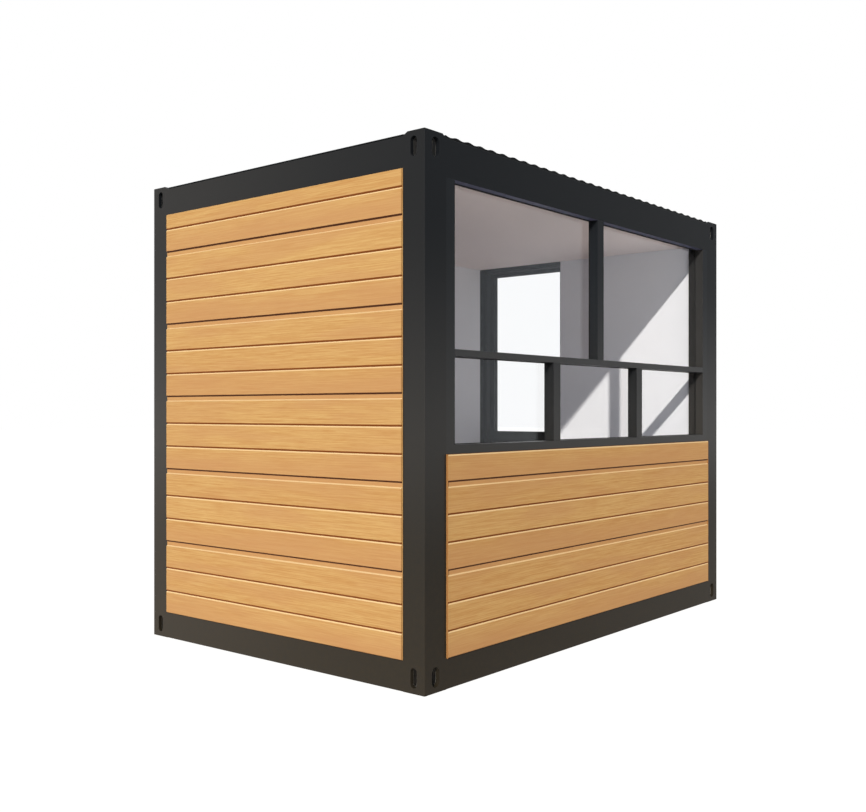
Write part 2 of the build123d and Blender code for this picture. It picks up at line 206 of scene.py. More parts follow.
class BoothStage(bpy.types.PropertyGroup):
    """Light and viewpoint."""
    sun_strength: bpy.props.FloatProperty(name="Sun", description="Strength of the sun", default=3.8)
    sun_colour: bpy.props.FloatVectorProperty(
        name="Sun colour", description="Tint of the sun", subtype="COLOR", default=(1.0, 0.955, 0.87))
    sun_way: bpy.props.FloatVectorProperty(
        name="Sun way", description="Way the sunlight travels", subtype="DIRECTION",
        default=(1.0, 0.49, -0.52))
    sun_width: bpy.props.FloatProperty(
        name="Sun width", description="Angle that the sun fills", subtype="ANGLE",
        default=math.radians(1.0))
    sky_strength: bpy.props.FloatProperty(
        name="Sky", description="Strength of the soft sky", default=0.36)
    sky_colour: bpy.props.FloatVectorProperty(
        name="Sky colour", description="Tint of the soft sky", subtype="COLOR", default=(0.72, 0.84, 1.0))
    fill_strength: bpy.props.FloatProperty(
        name="Fill", description="Strength of the soft front light", default=1.04)
    fill_colour: bpy.props.FloatVectorProperty(
        name="Fill colour", description="Tint of the soft front light", subtype="COLOR",
        default=(1.0, 0.81, 0.62))
    fill_way: bpy.props.FloatVectorProperty(
        name="Fill way", description="Way the soft front light travels", subtype="DIRECTION",
        default=(0.15, 1.0, 0.12))
    fill_width: bpy.props.FloatProperty(
        name="Fill width", description="Angle that the soft front light fills", subtype="ANGLE",
        default=math.radians(90.0))
    rear_strength: bpy.props.FloatProperty(
        name="Rear", description="Strength of the soft rear light", default=0.9)
    rear_colour: bpy.props.FloatVectorProperty(
        name="Rear colour", description="Tint of the soft rear light", subtype="COLOR",
        default=(0.92, 0.96, 1.0))
    rear_way: bpy.props.FloatVectorProperty(
        name="Rear way", description="Way the soft rear light travels", subtype="DIRECTION",
        default=(-0.8, -0.8, -0.25))
    rear_width: bpy.props.FloatProperty(
        name="Rear width", description="Angle that the soft rear light fills", subtype="ANGLE",
        default=math.radians(60.0))
    ground_colour: bpy.props.FloatVectorProperty(
        name="Ground", description="Colour of the floor that lights the booth from below", subtype="COLOR",
        default=(0.74, 0.69, 0.64))
    ground_reach: bpy.props.FloatProperty(
        name="Ground reach", description="Distance of the floor's edges", unit="LENGTH", default=60.0)
    eye: bpy.props.FloatVectorProperty(
        name="Eye", description="Place of the camera", subtype="TRANSLATION",
        default=(-4.9131, -3.9145, 1.2545))
    turn: bpy.props.FloatProperty(
        name="Turn", description="Camera's turn about the upright axis", subtype="ANGLE",
        default=math.radians(-51.064))
    lens: bpy.props.FloatProperty(name="Lens", description="Focal length", unit="CAMERA", default=42.48)
    shift: bpy.props.FloatVectorProperty(
        name="Shift", description="Sideways and upward shift of the lens", size=2,
        default=(-0.02245, 0.00583))


# Shader expressions

class Value:
    """A socket in a node tree; arithmetic on it adds Math nodes there."""

    def __init__(self, finish, socket):
        self.finish = finish
        self.socket = socket

    def math(self, operation, *others):
        numbers = dict(enumerate((self, *others)))
        return self.finish.node("ShaderNodeMath", {"operation": operation}, numbers)[0]

    def __add__(self, other):
        return self.math("ADD", other)

    __radd__ = __add__

    def __sub__(self, other):
        return self.math("SUBTRACT", other)

    def __rsub__(self, other):
        return self.finish.node("ShaderNodeMath", {"operation": "SUBTRACT"}, {0: other, 1: self})[0]

    def __mul__(self, other):
        return self.math("MULTIPLY", other)

    __rmul__ = __mul__

    def __truediv__(self, other):
        return self.math("DIVIDE", other)

    def __pow__(self, other):
        return self.math("POWER", other)

    def __gt__(self, other):
        return self.math("GREATER_THAN", other)

    def __lt__(self, other):
        return self.math("LESS_THAN", other)

    def __or__(self, other):
        return self.math("MAXIMUM", other)

    def floor(self):
        return self.math("FLOOR")

    def wrapped(self, span):
        """Brought between minus half and plus half of a span."""
        return self.math("WRAP", span / 2, -span / 2)

    def ramp(self, low, high):
        """0 below low, 1 above high, smooth between."""
        return self.finish.node("ShaderNodeMapRange", {"interpolation_type": "SMOOTHSTEP"},
                                {"Value": self, "From Min": low, "From Max": high})[0]

    def band(self, low, high, soft=0.0006):
        """1 between low and high, with soft ends."""
        return self.ramp(low - soft, low + soft) * (1.0 - self.ramp(high - soft, high + soft))


class Finish:
    """The nodes of a material or a world, and the one way they are added."""

    def __init__(self, owner):
        self.owner = owner
        owner.use_nodes = True
        self.tree = owner.node_tree
        self.tree.nodes.clear()

    def node(self, kind, settings=None, inputs=None):
        """Adds a node: settings first, then the values or links of its sockets.

        Returns the node's outputs as values.
        """
        made = self.tree.nodes.new(kind)
        for key, setting in (settings or {}).items():
            setattr(made, key, setting)
        for key, given in (inputs or {}).items():
            socket = made.inputs[key]
            if isinstance(given, Value):
                self.tree.links.new(given.socket, socket)
            elif socket.type == "RGBA":
                socket.default_value = (*given, 1.0)[:4]
            else:
                socket.default_value = given
        return [Value(self, out) for out in made.outputs]

    def place(self):
        """Object coordinates in metres, as one vector."""
        return self.node("ShaderNodeTexCoord")[3]

    def axes(self):
        """Object coordinates in metres, as x, y and z."""
        return self.node("ShaderNodeSeparateXYZ", {}, {0: self.place()})

    def vector(self, x, y, z):
        return self.node("ShaderNodeCombineXYZ", {}, {0: x, 1: y, 2: z})[0]

    def noise(self, vector, scale, detail=3.0, rough=0.55):
        return self.node("ShaderNodeTexNoise", {}, {
            "Vector": vector, "Scale": scale, "Detail": detail, "Roughness": rough})[0]

    def mix(self, share, first, second):
        """A colour between first and second by share."""
        return self.node("ShaderNodeMix", {"data_type": "RGBA"}, {0: share, 6: first, 7: second})[2]

    def bump(self, height, strength, distance):
        return self.node("ShaderNodeBump", {}, {
            "Height": height, "Strength": strength, "Distance": distance})[0]

    def seen(self):
        """1 where the camera, a mirror or a pane looks, and 0 for light that only falls on things."""
        path = self.node("ShaderNodeLightPath")
        camera, mirror, pane = (path[k] for k in (0, 3, 6))
        return camera | mirror | pane

    def surface(self, inputs):
        """Ends the material in one Principled shader."""
        return self.end(self.node("ShaderNodeBsdfPrincipled", {}, inputs)[0])

    def end(self, shader):
        """Ends the material in a shader."""
        self.node("ShaderNodeOutputMaterial", {}, {"Surface": shader})
        return self.owner


def finish(name):
    return Finish(bpy.data.materials.new(name))


def shaded(colour, share):
    """A colour made lighter or darker by a share."""
    return [share * part for part in colour]


# Finishes

def steel_paint(name, colour, dust, dusty, *patches):
    """Satin dark paint: faint orange peel, cloudy gloss, and dry dust that thins out upwards.

    A clear coat lies thickest at half height and fades out towards the roof.
    patches holds (colour, where) pairs. The paint takes that colour by the share that where gives for
    x, y and z.
    """
    f = finish(name)
    vector = f.place()
    x, y, z = f.axes()
    cloud = f.noise(vector, 2.3, 4.0)
    peel = f.noise(vector, 420.0, 2.0)
    speck = f.noise(vector, 38.0, 5.0, 0.7)
    dust_foot, dust_top = -0.5, 2.2
    low = 1.0 - z.ramp(dust_foot, dust_top)
    film = low * (0.85 + 0.3 * speck.ramp(0.35, 0.75)) * dusty
    coat = (1.0 - z.ramp(1.0, 2.2)) * (0.10 + 0.32 * z.ramp(0.5, 1.25))
    tone = f.mix(cloud.ramp(0.3, 0.7) * 0.5, colour, shaded(colour, 1.2))
    for patch, where in patches:
        tone = f.mix(where(x, y, z), tone, patch)
    tone = f.mix(film, tone, dust)
    return f.surface({
        "Base Color": tone,
        "Roughness": 0.44 + 0.12 * cloud + 0.3 * film,
        "Specular IOR Level": 0.05,
        "Specular Tint": (0.86, 0.93, 1.0),
        "Coat Weight": coat,
        "Coat Roughness": 0.35,
        "Normal": f.bump(peel, 0.05, 0.001),
    })


def wood_grain(f, look, along, across, slip, tone):
    """Long streaks and finer fibres that run along the wood, and slow clouds of a warmer hue."""
    def strand(lengthwise, crosswise, detail, rough):
        """Noise with so many changes a metre each way."""
        vector = f.vector(along * lengthwise + slip, across * crosswise, slip)
        return f.noise(vector, 1.0, detail, rough)

    streak = strand(4.2, 200.0, 3.0, 0.6)
    fibre = strand(16.0, 640.0, 2.0, 0.6)
    cloud = strand(1.6, 10.0, 2.0, 0.5)
    depth = 0.15 * tone + 0.60 * streak.ramp(0.28, 0.72) + 0.30 * fibre.ramp(0.32, 0.70)
    wood = f.mix(depth, look.wood_light, look.wood_dark)
    wood = f.mix(0.45 * cloud.ramp(0.40, 0.68), wood, look.wood_warm)
    return wood, streak, fibre


def wood_surface(f, wood, streak, fibre):
    """Satin wood print with a pressed grain."""
    return f.surface({
        "Base Color": wood,
        "Roughness": 0.50 + 0.14 * streak,
        "Specular IOR Level": 0.06,
        "Normal": f.bump(0.6 * streak + 0.4 * fibre, 0.18, 0.0010),
    })


def wood_trim(look):
    """The same wood with its grain upright and no board lines.

    It is darker on the front and back walls, where the square of y is past that of the end walls.
    """
    f = finish("wood_trim")
    x, y, z = f.axes()
    wood, streak, fibre = wood_grain(f, look, z, x + y, 0.0, 0.3)
    past_end_walls = 0.95
    end_darkening = 0.6 * (y * y > past_end_walls)
    return wood_surface(f, f.mix(end_darkening, wood, look.groove_painted_shade), streak, fibre)


def wood_cladding(look, sizes, foot):
    """Carved wood-look panel: a tone for each board, and lines that repeat with the panel's height.

    The distance from a line is the level wrapped about that line. A groove has painted shade above its
    line and a painted highlight below it, and a joint has a painted highlight at its foot and a painted
    shadow under its lip.
    """
    f = finish("wood_cladding")
    x, y, z = f.axes()
    module = sizes.panel_module
    panel = ((z - foot) / module).floor()
    inside = z - foot - panel * module
    board = panel * 3.0 + (inside > sizes.first_line) + (inside > sizes.second_line)
    seed = board * 1.37 + 0.21
    tone = f.node("ShaderNodeTexWhiteNoise", {"noise_dimensions": "1D"}, {"W": seed})[0]
    wood, streak, fibre = wood_grain(f, look, x + y, z, tone * 7.0, tone)
    lowest = 1.0 - inside.ramp(0.2 * sizes.first_line, 1.1 * sizes.first_line)
    warmth, lip_shadow_drop = 0.55, 0.0035
    wood = f.mix(warmth * lowest, wood, look.wood_warm)
    half, bevel, rise = sizes.groove_width / 2, sizes.edge_bevel, sizes.joint_height
    grooves = [(z - (foot + line)).wrapped(module) for line in (sizes.first_line, sizes.second_line)]
    joint = (z - (foot + sizes.joint_line)).wrapped(module)
    edge = 0.25 * half
    # Painted shade on each groove's upper slope; pale is the painted highlight on its lower slope and the
    # joint's foot
    painted_groove_shade = grooves[0].band(-edge, half + edge) | grooves[1].band(-edge, half + edge)
    pale = grooves[0].band(-half - edge, -edge) | grooves[1].band(-half - edge, -edge)
    pale = pale | joint.band(-bevel, 0.0)
    wood = f.mix(warmth * joint.band(0.0, rise), wood, look.wood_warm)
    wood = f.mix(0.8 * pale, wood, look.edge_painted_highlight)
    wood = f.mix(painted_groove_shade, wood, look.groove_painted_shade)
    # Painted shadow under each panel's lower lip
    wood = f.mix(0.95 * joint.band(rise - lip_shadow_drop, rise + bevel), wood, look.lip_painted_shadow)
    return wood_surface(f, wood, streak, fibre)


def clear_glass(look):
    """Clear pane: light passes straight through, and both faces mirror by the fifth power of the slant."""
    f = finish("clear_glass")
    facing = f.node("ShaderNodeLayerWeight", {}, {"Blend": 0.5})[1]
    straight, slanted = 0.014, 0.9
    mirror = straight + slanted * facing ** 5.0
    clear = f.node("ShaderNodeBsdfTransparent", {}, {"Color": look.glass})[0]
    gloss = f.node("ShaderNodeBsdfGlossy", {}, {"Color": look.glass_gloss, "Roughness": 0.0})[0]
    return f.end(f.node("ShaderNodeMixShader", {}, {0: mirror, 1: clear, 2: gloss})[0])


def white_lining(name, colour):
    """Matt white board: roller texture and slow clouding."""
    f = finish(name)
    vector = f.place()
    roller = f.noise(vector, 160.0, 3.0)
    cloud = f.noise(vector, 1.6, 3.0)
    return f.surface({
        "Base Color": f.mix(cloud.ramp(0.3, 0.75) * 0.5, colour, shaded(colour, 0.95)),
        "Roughness": 0.62 + 0.12 * roller,
        "Specular IOR Level": 0.3,
        "Normal": f.bump(roller, 0.10, 0.0006),
    })


def vinyl_floor(look):
    """Speckled sheet vinyl."""
    f = finish("vinyl_floor")
    vector = f.place()
    speck = f.noise(vector, 210.0, 4.0, 0.75)
    cloud = f.noise(vector, 2.0, 4.0)
    tone = f.mix(speck.ramp(0.42, 0.66), shaded(look.vinyl, 0.8), shaded(look.vinyl, 1.2))
    return f.surface({
        "Base Color": f.mix(cloud * 0.25, tone, shaded(look.vinyl, 0.7)),
        "Roughness": 0.42 + 0.2 * cloud,
        "Normal": f.bump(speck, 0.08, 0.0005),
    })


def brushed_hardware(look):
    """Brushed steel with fine lines across the piece."""
    f = finish("brushed_hardware")
    x, y, z = f.axes()
    lines = f.noise(f.vector(x * 60.0, y * 60.0, z * 1800.0), 1.0, 2.0)
    return f.surface({
        "Base Color": f.mix(lines, shaded(look.metal, 0.82), look.metal),
        "Metallic": 1.0,
        "Roughness": 0.26 + 0.16 * lines,
        "Normal": f.bump(lines, 0.05, 0.0004),
    })


def rubber_gasket(look):
    """Matt black rubber with a dusty bloom."""
    f = finish("rubber_gasket")
    vector = f.place()
    bloom = f.noise(vector, 60.0, 4.0)
    return f.surface({
        "Base Color": f.mix(bloom.ramp(0.45, 0.8) * 0.4, look.gasket, shaded(look.gasket, 3.0)),
        "Roughness": 0.66 + 0.2 * bloom,
        "Specular IOR Level": 0.25,
        "Normal": f.bump(bloom, 0.08, 0.0006),
    })


# Mesh building

# Degrees past which an edge of a new piece stays sharp, for each slot
CREASES = {"cladding": 20.0, "roof_steel": 30.0, "window_frame": 40.0, "hardware": 35.0}


def quads_of(rows, columns, wrap_rows=False, wrap_columns=False):
    """Corner numbers of the quads of a rows by columns grid, joined round where it wraps."""
    r = np.arange(rows if wrap_rows else rows - 1)[:, None]
    c = np.arange(columns if wrap_columns else columns - 1)[None, :]
    r2, c2 = (r + 1) % rows, (c + 1) % columns
    corners = [r * columns + c, r * columns + c2, r2 * columns + c2, r2 * columns + c]
    return np.stack([np.broadcast_to(k, (r.size, c.size)) for k in corners], axis=-1).reshape(-1, 4)


def capped_faces(count, turned):
    """Faces of a closed outline of count points carried from one end to the other, with a cap at each end.

    turned reverses every face.
    """
    caps = [np.arange(count)[::-1].tolist(), (count + np.arange(count)).tolist()]
    faces = quads_of(2, count, wrap_columns=True).tolist() + caps
    return [face[::-1] for face in faces] if turned else faces


def level_grid(columns, rows, level):
    """Points at one level: every place of columns along X for every place of rows along Y."""
    grid = np.broadcast_arrays(columns[None, :], rows[:, None], level)
    return np.stack(grid, axis=-1).reshape(-1, 3)


def mesh_object(name, points, faces, material, body, slot):
    """Puts points and faces into a mesh that rides on a body, with edges kept sharp past its slot's crease
    angle.
    """
    mesh = bpy.data.meshes.new(name)
    mesh.from_pydata(np.asarray(points).reshape(-1, 3).tolist(), [], faces)
    mesh.materials.append(material)
    mesh.validate()
    mesh.shade_smooth()
    mesh.set_sharp_from_angle(angle=math.radians(CREASES[slot]))
    made = bpy.data.objects.new(name, mesh)
    bpy.context.scene.collection.objects.link(made)
    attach(made, body)
    return made


def soften(made, width, angle=40.0):
    """Rounds the edges of a piece that turn by more than an angle in degrees."""
    soft = made.modifiers.new("soft_edge", "BEVEL")
    soft.width = width
    soft.segments = 2
    soft.limit_method = "ANGLE"
    soft.angle_limit = math.radians(angle)
    soft.harden_normals = True


def dress(names, material, bevel=0.0):
    """Gives CAD nodes a material, and softens their edges where bevel is set."""
    for name in names:
        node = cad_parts[name]
        node.data.materials.clear()
        node.data.materials.append(material)
        if bevel:
            weld = node.modifiers.new("weld", "WELD")
            weld.merge_threshold = 1e-5
            soften(node, bevel)


def carved_face(low, high, thickness, sizes):
    """Profile of the cladding from foot to top: levels, and distances from the back.

    The face lies at the full thickness. Depth taken away is straight between these points: zero, full and
    zero across a board groove; zero, full, full, bevel and zero up a joint; bevel and zero at the foot and
    the top.
    """
    bevel, half = sizes.edge_bevel, sizes.groove_width / 2
    foot, lip = sizes.joint_line, sizes.joint_line + sizes.joint_height
    tiny = 1e-5
    groove = np.array([[-half, 0.0], [0.0, sizes.groove_depth], [half, 0.0]])
    joint = np.array([[foot - bevel, 0.0], [foot, sizes.joint_depth], [lip, sizes.joint_depth],
                      [lip + tiny, bevel], [lip + bevel, 0.0]])
    cuts = [groove + (sizes.first_line, 0.0), groove + (sizes.second_line, 0.0), joint]
    count = math.ceil((high - low) / sizes.panel_module)
    starts = low + sizes.panel_module * np.arange(count)
    limit = high - 2 * bevel
    every = [cut + (start, 0.0) for start in starts for cut in cuts if start + cut[-1, 0] < limit]
    ends = [np.array([[low, bevel], [low + bevel, 0.0]]), np.array([[high - bevel, 0.0], [high, bevel]])]
    line = np.concatenate([ends[0], *every, ends[1]])
    line = line[np.argsort(line[:, 0], kind="stable")]
    return line[:, 0], thickness - line[:, 1]


def carved_panel(name, node, outward, material, sizes):
    """Cladding of one wall: the carved profile carried along the wall and closed at the back and ends.

    outward is the axis that the wall faces along, 0 or 1 for X or Y, and the sign of the way it faces.
    """
    axis, sign = outward
    low, high = (np.array(corner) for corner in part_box(node))
    levels, out = carved_face(low[2], high[2], high[axis] - low[axis], sizes)
    inset = sizes.trim_width + sizes.trim_gap
    stations = np.array([low[1 - axis] + inset, high[1 - axis] - inset])
    loop_level = np.concatenate([levels, [high[2], low[2]]])
    depth = np.concatenate([out, np.zeros(2)])
    columns = len(loop_level)
    back = low[axis] if sign > 0 else high[axis]
    points = np.empty((2, columns, 3))
    points[..., axis] = back + sign * depth
    points[..., 1 - axis] = stations[:, None]
    points[..., 2] = loop_level
    faces = capped_faces(columns, (sign > 0) != (axis == 1))
    made = mesh_object(name, points, faces, material, "booth", "cladding")
    soften(made, sizes.soft_edge, angle=25.0)
    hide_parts(node)


def end_trims(name, walls, material, sizes):
    """Strips that close the ends of the cladding: a stepped plan carried from foot to top and capped.

    walls holds (CAD node, outward) pairs, with outward as for a carved panel. The outline runs from the
    panel's back round the strip and its lower step beside the boards. The strip is as high as the boards on
    the front and back walls, and as low as their deepest joint on the end walls, where the grooves run out.
    """
    wide, gap, step = sizes.trim_width, sizes.trim_gap, sizes.trim_step
    points, faces = [], []
    for node, (axis, sign) in walls:
        low, high = (np.array(corner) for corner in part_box(node))
        thick = high[axis] - low[axis]
        rise = thick if axis == 1 else thick - sizes.joint_depth
        outline = np.array([[0.0, 0.0], [0.0, rise], [wide, rise], [wide, thick - step],
                            [wide + gap, thick - step], [wide + gap, 0.0]])
        count = len(outline)
        back = low[axis] if sign > 0 else high[axis]
        for start, inward in ((low[1 - axis], 1), (high[1 - axis], -1)):
            strip = np.empty((2, count, 3))
            strip[..., axis] = back + sign * outline[:, 1]
            strip[..., 1 - axis] = start + inward * outline[:, 0]
            strip[..., 2] = np.array([low[2], high[2]])[:, None]
            first = sum(len(part) for part in points)
            loop = capped_faces(count, (sign * inward > 0) == (axis == 0))
            faces.extend([first + k for k in face] for face in loop)
            points.append(strip.reshape(-1, 3))
    made = mesh_object(name, np.concatenate(points), faces, material, "booth", "cladding")
    soften(made, sizes.soft_edge)


def rectangle_beads(boxes, axis, profile):
    """Rings round rectangles: a closed profile of (inward, outward) pairs carried round mitred corners.

    boxes holds (low corner, high corner, face level, sign) for each ring. axis is the way the panes face.
    """
    u, v = [k for k in range(3) if k != axis]
    turn = np.array([[-1, -1], [1, -1], [1, 1], [-1, 1]])
    points, faces = [], []
    for number, (low, high, level, sign) in enumerate(boxes):
        low, high = np.array(low), np.array(high)
        middle, half = (low + high) / 2, (high - low) / 2
        ring = np.empty((4, len(profile), 3))
        ring[..., u] = middle[u] + turn[:, None, 0] * (half[u] - profile[:, 0])
        ring[..., v] = middle[v] + turn[:, None, 1] * (half[v] - profile[:, 0])
        ring[..., axis] = level + sign * profile[:, 1]
        quads = quads_of(4, len(profile), wrap_rows=True, wrap_columns=True) + number * 4 * len(profile)
        outside = (sign > 0) == (axis != 1)
        points.append(ring.reshape(-1, 3))
        faces.extend(quads.tolist() if outside else quads[:, ::-1].tolist())
    return np.concatenate(points), faces


def turned_heads(places, axis, sign, rings, around=18):
    """Screw heads and the like: at each place, rings stacked outwards and closed by a flat cap.

    A ring is (half length, radius, height, sides): a circle stretched upwards by its half length, or a
    polygon with that many sides. A polygon's radius is the flat's distance over the cosine of the turn from
    the flat.
    """
    u, v = [k for k in range(3) if k != axis]
    rings = np.array(rings, dtype=float)
    turn = np.linspace(0.0, 2.0 * math.pi, around, endpoint=False)
    side = 2.0 * math.pi / np.maximum(rings[:, 3], 1.0)[:, None]
    flat = np.cos(side / 2) / np.cos(np.mod(turn, side) - side / 2)
    radius = rings[:, 1][:, None] * np.where(rings[:, 3][:, None] > 2, flat, 1.0)
    stretch = rings[:, 0][:, None] * np.sign(np.round(np.sin(turn), 6))
    shape = np.empty((len(rings), around, 3))
    shape[..., u] = radius * np.cos(turn)
    shape[..., v] = radius * np.sin(turn) + stretch
    shape[..., axis] = sign * rings[:, 2][:, None]
    places = np.array(places)
    points = places[:, None, None, :] + shape
    size = len(rings) * around
    quads = quads_of(len(rings), around, wrap_columns=True)
    cap = (len(rings) - 1) * around + np.arange(around)
    outside = (sign > 0) == (axis != 1)
    faces = []
    for number in range(len(places)):
        one = (quads + number * size).tolist() + [(cap + number * size).tolist()]
        faces.extend(one if outside else [face[::-1] for face in one])
    return points, faces


# Operators

class BOOTH_OT_steel(bpy.types.Operator):
    """Paints the posts, rails, castings and joists"""
    bl_idname = "booth.steel"
    bl_label = "Paint Steel Frame"

    def execute(self, context):
        look, sizes = context.scene.booth_colours, context.scene.booth_sizes
        wall, skin = sizes.casting_wall, sizes.paint_skin
        first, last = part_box("bottom_corner_castings")[0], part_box("top_corner_castings")[1]
        low, high = np.array(first) + wall, np.array(last) - wall

        def painted_sunlit_end(x, y, z):
            """Share that takes painted sunlight: the outer faces of the left end, more so towards the back.
            """
            outer = 1.0 - x.ramp(first[0] + 0.5 * skin, first[0] + 1.5 * skin)
            return outer * (0.38 + 0.62 * y.ramp(first[1], last[1]))

        def casting_painted_light(*place):
            """1 where a point lies deeper than the casting's wall behind every outer face."""
            deep = [(p > float(a)) * (p < float(b)) for p, a, b in zip(place, low, high)]
            return deep[0] * deep[1] * deep[2]

        # Painted sunlight on the left end's outer faces, lighter towards the back
        sunlit_patch = (look.painted_sunlight, painted_sunlit_end)
        paint = steel_paint("frame_paint", look.steel, look.dust, look.dusty, sunlit_patch)
        dress([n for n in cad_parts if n.endswith(("_post", "_rail"))] + ["floor_joists"], paint)
        # The inside of the castings takes painted light
        patches = [sunlit_patch, (look.casting_painted_light, casting_painted_light)]
        casting = steel_paint("casting_paint", look.steel, look.dust, look.dusty, *patches)
        dress(["bottom_corner_castings", "top_corner_castings"], casting)
        return {"FINISHED"}


class BOOTH_OT_roof(bpy.types.Operator):
    """Paints the roof sheet and screws it down"""
    bl_idname = "booth.roof"
    bl_label = "Finish Roof"

    def execute(self, context):
        look, sizes = context.scene.booth_colours, context.scene.booth_sizes
        paint = steel_paint("roof_paint", look.roof, look.dust, 0.0)
        dress(["roof_sheet"], paint)
        low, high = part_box("roof_sheet")
        crests = low[0] + (high[0] - low[0]) * (np.arange(1, sizes.wave_count, 2) + 0.5) / sizes.wave_count
        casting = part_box("front_left_post")[1][0]
        crests = crests[np.abs(crests) < abs(casting) - sizes.washer]
        rows = np.array([low[1] + sizes.screw_inset, 0.0, high[1] - sizes.screw_inset])
        places = level_grid(crests, rows, high[2])
        wide, narrow = sizes.washer, 0.52 * sizes.washer
        rings = [(0, wide, -0.3 * wide, 0), (0, wide, 0.06 * wide, 0), (0, 0.9 * wide, 0.16 * wide, 0),
                 (0, narrow, 0.2 * wide, 6), (0, narrow, 0.62 * wide, 6), (0, 0.8 * narrow, 0.7 * wide, 6)]
        points, faces = turned_heads(places, 2, 1, rings)
        mesh_object("roof_screws", points, faces, paint, "booth", "roof_steel")
        return {"FINISHED"}


class BOOTH_OT_cladding(bpy.types.Operator):
    """Builds the carved wood-look cladding on the four walls"""
    bl_idname = "booth.cladding"
    bl_label = "Build Cladding"

    def execute(self, context):
        look, sizes = context.scene.booth_colours, context.scene.booth_sizes
        wood = wood_cladding(look, sizes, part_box("left_wall_cladding")[0][2])
        sides = {"left": (0, -1), "right": (0, 1), "front": (1, -1), "back": (1, 1)}
        for side, outward in sides.items():
            carved_panel(f"{side}_carved_panel", f"{side}_wall_cladding", outward, wood, sizes)
        walls = [(f"{side}_wall_cladding", outward) for side, outward in sides.items()]
        end_trims("cladding_end_trims", walls, wood_trim(look), sizes)
        return {"FINISHED"}


class BOOTH_OT_inside(bpy.types.Operator):
    """Finishes the lining, ceiling and floor"""
    bl_idname = "booth.inside"
    bl_label = "Finish Inside"

    def execute(self, context):
        look = context.scene.booth_colours
        walls = [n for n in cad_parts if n.endswith("_wall_panel")]
        dress(walls, white_lining("white_lining", look.lining))
        # The ceiling's warmer tone is painted bounce light
        dress(["ceiling_panel"], white_lining("ceiling_painted_bounce", look.ceiling))
        dress(["floor_deck"], vinyl_floor(look))
        return {"FINISHED"}


class BOOTH_OT_glazing(bpy.types.Operator):
    """Paints the window and door bars, and sets the panes in rubber"""
    bl_idname = "booth.glazing"
    bl_label = "Finish Window And Door"

    def execute(self, context):
        look, sizes = context.scene.booth_colours, context.scene.booth_sizes
        low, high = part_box("front_window_head")
        lit_underside_share = 0.7
        lit_underside_back = low[1] + lit_underside_share * (high[1] - low[1])
        underside = low[2] + 0.1 * sizes.bar_bevel
        reveal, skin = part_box("window_transom")[1][0], sizes.paint_skin
        # A lighter copy of the frame paint: painted sunlight on the mullions, the sill and the jambs
        lit_steel_tone = shaded(look.steel, 1.4)

        def bead(x, y, z):
            """1 on the front part of the head's underside, where painted light from below lies."""
            return (z < underside) * (y < lit_underside_back)

        def painted_sunlit_reveal(x, y, z):
            """1 on the face of the right jamb that looks along the window, where painted sunlight lies."""
            return x.band(reveal - skin, reveal + skin)

        dust = (look.dust, look.dusty)
        # The head's underside takes painted light from below
        head = steel_paint("head_paint", look.steel, *dust, (look.underside_painted_light, bead))
        dress(["front_window_head"], head)
        lit_mullion_paint = steel_paint("mullion_painted_light", lit_steel_tone, *dust)
        dress(["upper_mullion", "lower_mullions"], lit_mullion_paint, sizes.bar_bevel)
        dress(["front_window_sill"], lit_mullion_paint)
        # The jambs also take painted sunlight on the reveal that faces along the window
        lit_jamb_paint = steel_paint("jamb_painted_light", lit_steel_tone, *dust, (look.painted_sunlight, painted_sunlit_reveal))
        dress(["front_window_jambs"], lit_jamb_paint)
        bars = ["window_transom", "door_stiles", "door_rails", "door_panel"]
        frames = ["door_threshold", "door_head", "door_jambs", "door_stops"]
        dress(bars + frames, steel_paint("bar_paint", look.bars, *dust), sizes.bar_bevel)
        dress(["upper_panes", "lower_panes", "door_glass"], clear_glass(look))
        self.gaskets(look, sizes)
        return {"FINISHED"}

    def gaskets(self, look, sizes):
        """Rubber round each pane, on both faces: a quarter round with its foot on the glass."""
        angle = np.linspace(0.0, math.pi / 2, 4)
        wide, tall = sizes.bead, 0.55 * sizes.bead
        bead = np.stack([wide * np.cos(angle), tall * np.sin(angle)], axis=1)
        profile = np.concatenate([[[0.0, 0.0]], bead])
        rubber = rubber_gasket(look)
        upper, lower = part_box("upper_panes"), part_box("lower_panes")
        mullion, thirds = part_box("upper_mullion"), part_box("lower_mullions")
        bar = mullion[1][0] - mullion[0][0]
        above = [(upper[0][0], mullion[0][0]), (mullion[1][0], upper[1][0])]
        below = [(lower[0][0], thirds[0][0]), (thirds[0][0] + bar, thirds[1][0] - bar),
                 (thirds[1][0], lower[1][0])]
        rings = []
        for spans, pane in ((above, upper), (below, lower)):
            for left, right in spans:
                for level, sign in ((pane[0][1], -1), (pane[1][1], 1)):
                    rings.append(((left, 0, pane[0][2]), (right, 0, pane[1][2]), level, sign))
        points, faces = rectangle_beads(rings, 1, profile)
        mesh_object("window_gaskets", points, faces, rubber, "booth", "window_frame")
        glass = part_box("door_glass")
        rings = [(glass[0], glass[1], glass[0][0], -1), (glass[0], glass[1], glass[1][0], 1)]
        points, faces = rectangle_beads(rings, 0, profile)
        mesh_object("door_gaskets", points, faces, rubber, "door", "window_frame")


